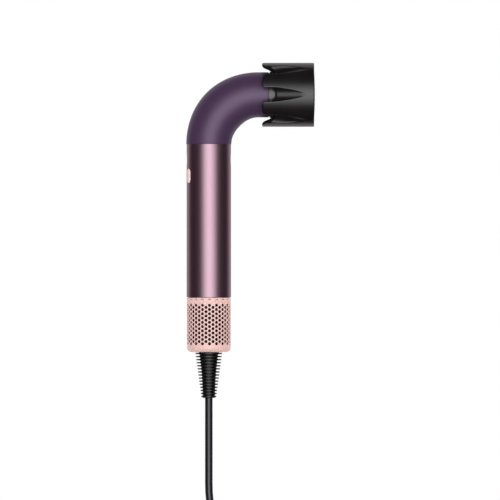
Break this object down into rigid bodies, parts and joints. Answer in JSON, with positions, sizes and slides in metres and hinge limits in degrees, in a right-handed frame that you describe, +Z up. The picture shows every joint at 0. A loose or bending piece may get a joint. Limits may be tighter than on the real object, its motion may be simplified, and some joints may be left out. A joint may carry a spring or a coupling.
{
  "type": "hair dryer with diffuser attachment",
  "caption": "Pipe-shaped hair dryer: a straight handle, a right-angle bend and a crown-shaped air attachment that pulls off and turns, with a sliding filter cage and a coiled mains cord.",
  "frame": {"origin": "on the handle's axis, at mid-height of the metal sleeve where a hand or cradle holds it", "axes": "+Z up along the handle, +X the way the air leaves the nozzle, +Y to the left of the air's direction"},
  "size_m": [0.1484, 0.1216, 0.4388],
  "materials": {
    "mauve_metal": "satin anodised, mauve",
    "pink_button": "satin pale pink",
    "purple_soft": "soft-touch purple",
    "black_plastic": "fine matte black",
    "dark_plastic": "dark heat-resistant plastic",
    "grey_satin": "satin grey",
    "black_rubber": "matte black rubber",
    "pink_cage": "pale pink, satin",
    "filter_mesh": "fine woven steel",
    "magnet": "nickel-plated",
    "circuit_board": "green solder mask",
    "component_black": "moulded epoxy",
    "lens": "clear diffusing plastic",
    "motor_metal": "machined aluminium",
    "copper": "enamelled copper wire",
    "bearing_steel": "ground steel",
    "impeller_metal": "milled aluminium",
    "mica": "mica board",
    "heater_wire": "oxidised resistance wire",
    "wire_jacket": "silicone wire jacket",
    "cord_black": "smooth black cable jacket",
    "tie_strap": "soft black strap",
    "pin_metal": "nickel-plated brass"
  },
  "bodies": {
    "dryer": {"handle_sleeve": "mauve_metal", "bend_cover": "purple_soft", "handle_chassis": "black_plastic", "bend_liner": "dark_plastic", "outlet_collar": "grey_satin", "neck_seal": "black_rubber", "inlet_frame": "black_plastic", "inner_filter_mesh": "filter_mesh", "cage_magnets": "magnet", "outlet_magnets": "magnet", "magnet_carrier": "dark_plastic", "outlet_grille": "black_plastic", "attachment_sensor": "circuit_board", "control_board": "circuit_board", "cold_shot_board": "circuit_board", "drive_board": "circuit_board", "board_parts": "component_black", "button_switches": "component_black", "led_lenses": "lens", "motor_housing": "motor_metal", "motor_mounts": "black_rubber", "motor_stator": "motor_metal", "motor_coils": "copper", "motor_bearings": "bearing_steel", "tail_cone": "dark_plastic", "heater_frame": "mica", "heater_coils": "heater_wire", "thermal_cutout": "bearing_steel", "temperature_probe": "component_black", "heater_wires": "wire_jacket", "supply_wires": "wire_jacket", "cord_clamp": "dark_plastic", "clamp_screws": "bearing_steel", "cord_inner_end": "cord_black", "strain_relief": "black_rubber", "cord_lead": "cord_black", "cord_coil": "cord_black", "cord_tail": "cord_black", "cord_tie": "tie_strap", "plug_body": "black_rubber", "plug_pins": "pin_metal"},
    "power_button": {"power_button": "mauve_metal"},
    "cold_shot_button": {"cold_shot_button": "mauve_metal"},
    "airflow_button": {"airflow_button": "pink_button"},
    "temperature_button": {"temperature_button": "pink_button"},
    "filter_cage": {"filter_cage": "pink_cage", "cage_band": "pink_cage"},
    "rotor": {"rotor_shaft": "bearing_steel", "rotor_magnet": "magnet", "impeller": "impeller_metal"},
    "attachment_coupling": {"attachment_magnet_ring": "magnet", "attachment_seal": "black_rubber"},
    "attachment": {"attachment_shroud": "black_plastic", "flow_guide": "black_plastic", "diffuser_plate": "black_plastic"}
  },
  "joints": [
    {"name": "power_press", "type": "slide", "parent": "dryer", "child": "power_button", "axis": [1, 0, 0], "range_m": [0, 0.0008], "stiffness_N_per_m": 2500, "springref_m": -0.0004},
    {"name": "cold_shot_press", "type": "slide", "parent": "dryer", "child": "cold_shot_button", "axis": [-1, 0, 0], "range_m": [0, 0.0008], "stiffness_N_per_m": 2500, "springref_m": -0.0004},
    {"name": "airflow_press", "type": "slide", "parent": "dryer", "child": "airflow_button", "axis": [0.9063, 0.4226, 0], "range_m": [0, 0.0006], "stiffness_N_per_m": 2500, "springref_m": -0.0004},
    {"name": "temperature_press", "type": "slide", "parent": "dryer", "child": "temperature_button", "axis": [0.9063, -0.4226, 0], "range_m": [0, 0.0006], "stiffness_N_per_m": 2500, "springref_m": -0.0004},
    {"name": "filter_slide", "type": "slide", "parent": "dryer", "child": "filter_cage", "axis": [0, 0, -1], "range_m": [0, 0.055]},
    {"name": "impeller_spin", "type": "hinge", "parent": "dryer", "child": "rotor", "pos_m": [0, 0, -0.045], "axis": [0, 0, 1], "continuous": true},
    {"name": "attachment_pull", "type": "slide", "parent": "dryer", "child": "attachment_coupling", "axis": [1, 0, 0], "range_m": [0, 0.03]},
    {"name": "attachment_spin", "type": "hinge", "parent": "attachment_coupling", "child": "attachment", "pos_m": [0.076, 0, 0.107], "axis": [1, 0, 0], "continuous": true}
  ]
}
